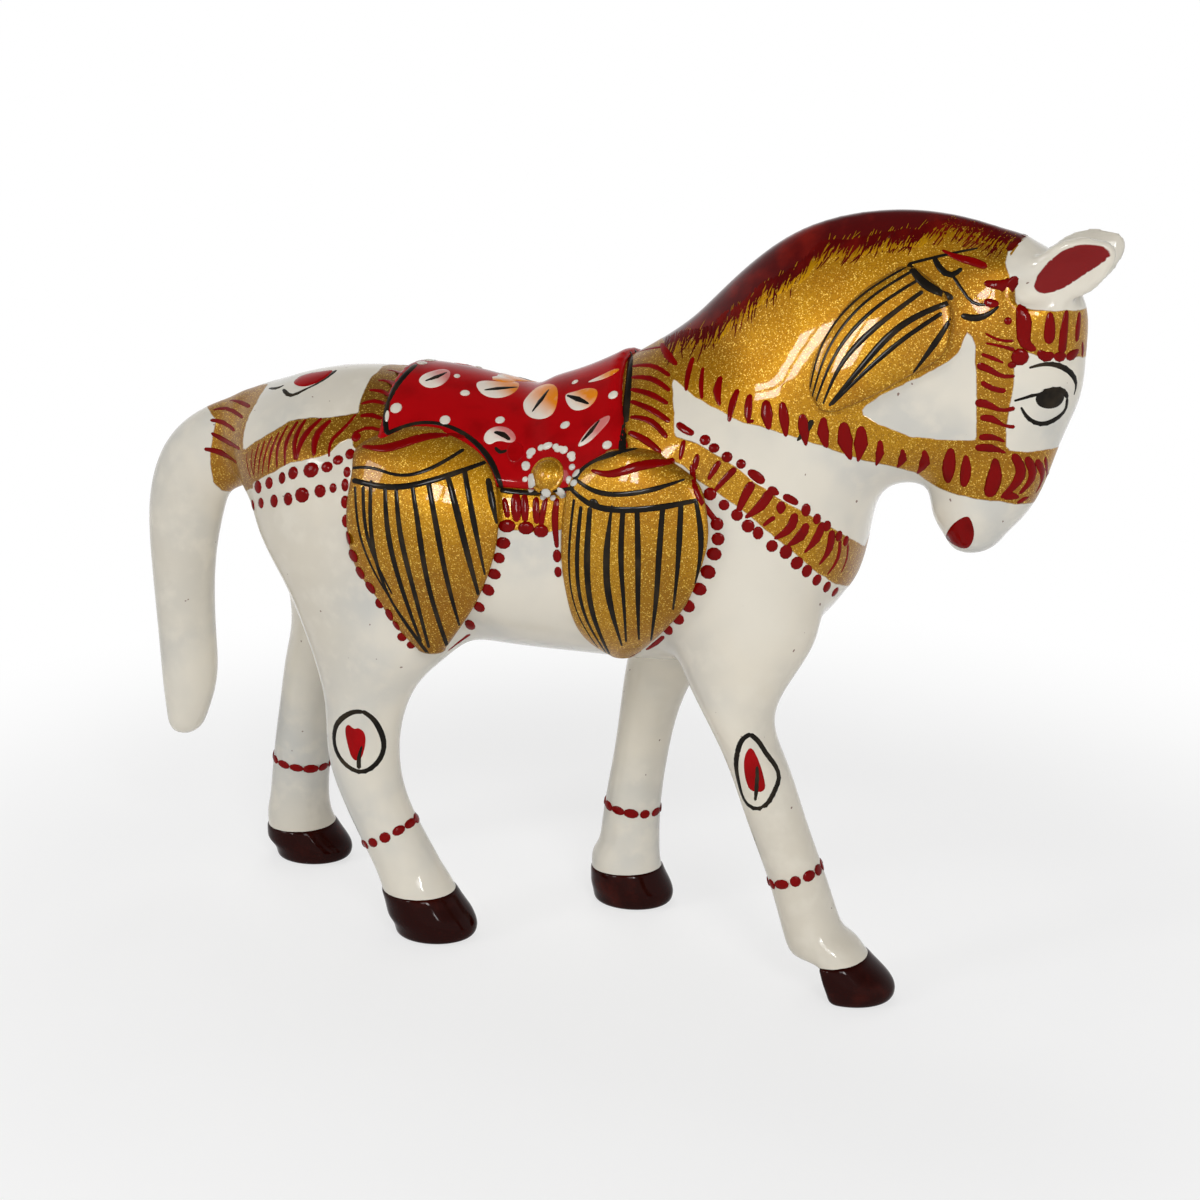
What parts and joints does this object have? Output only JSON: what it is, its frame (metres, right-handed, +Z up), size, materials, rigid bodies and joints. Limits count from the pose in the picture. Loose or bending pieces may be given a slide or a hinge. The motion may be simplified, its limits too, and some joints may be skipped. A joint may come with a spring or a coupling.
{
  "type": "horse figurine",
  "caption": "Walking horse figurine with bowed head: a hollow cast body in two halves, pegged legs, hooves, tail and ears, and a saddle, bags and neck tassels in low relief.",
  "frame": {"origin": "on the floor, under the middle of the figure's bounding box", "axes": "+X to the head, +Y to the horse's left side, +Z up"},
  "size_m": [0.1008, 0.029, 0.0752],
  "materials": {
    "white_enamel": "gloss",
    "gold_enamel": "gloss over mica paint",
    "red_enamel": "gloss",
    "hoof_enamel": "gloss"
  },
  "bodies": {
    "root": {"body_shell_right": "white_enamel", "body_shell_left": "white_enamel", "foreleg_right": "white_enamel", "foreleg_left": "white_enamel", "hindleg_right": "white_enamel", "hindleg_left": "white_enamel", "tail": "white_enamel", "ear_right": "white_enamel", "ear_left": "white_enamel", "bag_rear_right": "gold_enamel", "bag_rear_left": "gold_enamel", "bag_front_right": "gold_enamel", "bag_front_left": "gold_enamel", "neck_tassel_right": "gold_enamel", "neck_tassel_left": "gold_enamel", "medallion_right": "gold_enamel", "medallion_left": "gold_enamel", "hoof_front_right": "hoof_enamel", "hoof_front_left": "hoof_enamel", "hoof_rear_right": "hoof_enamel", "hoof_rear_left": "hoof_enamel", "saddle": "red_enamel"}
  },
  "joints": []
}
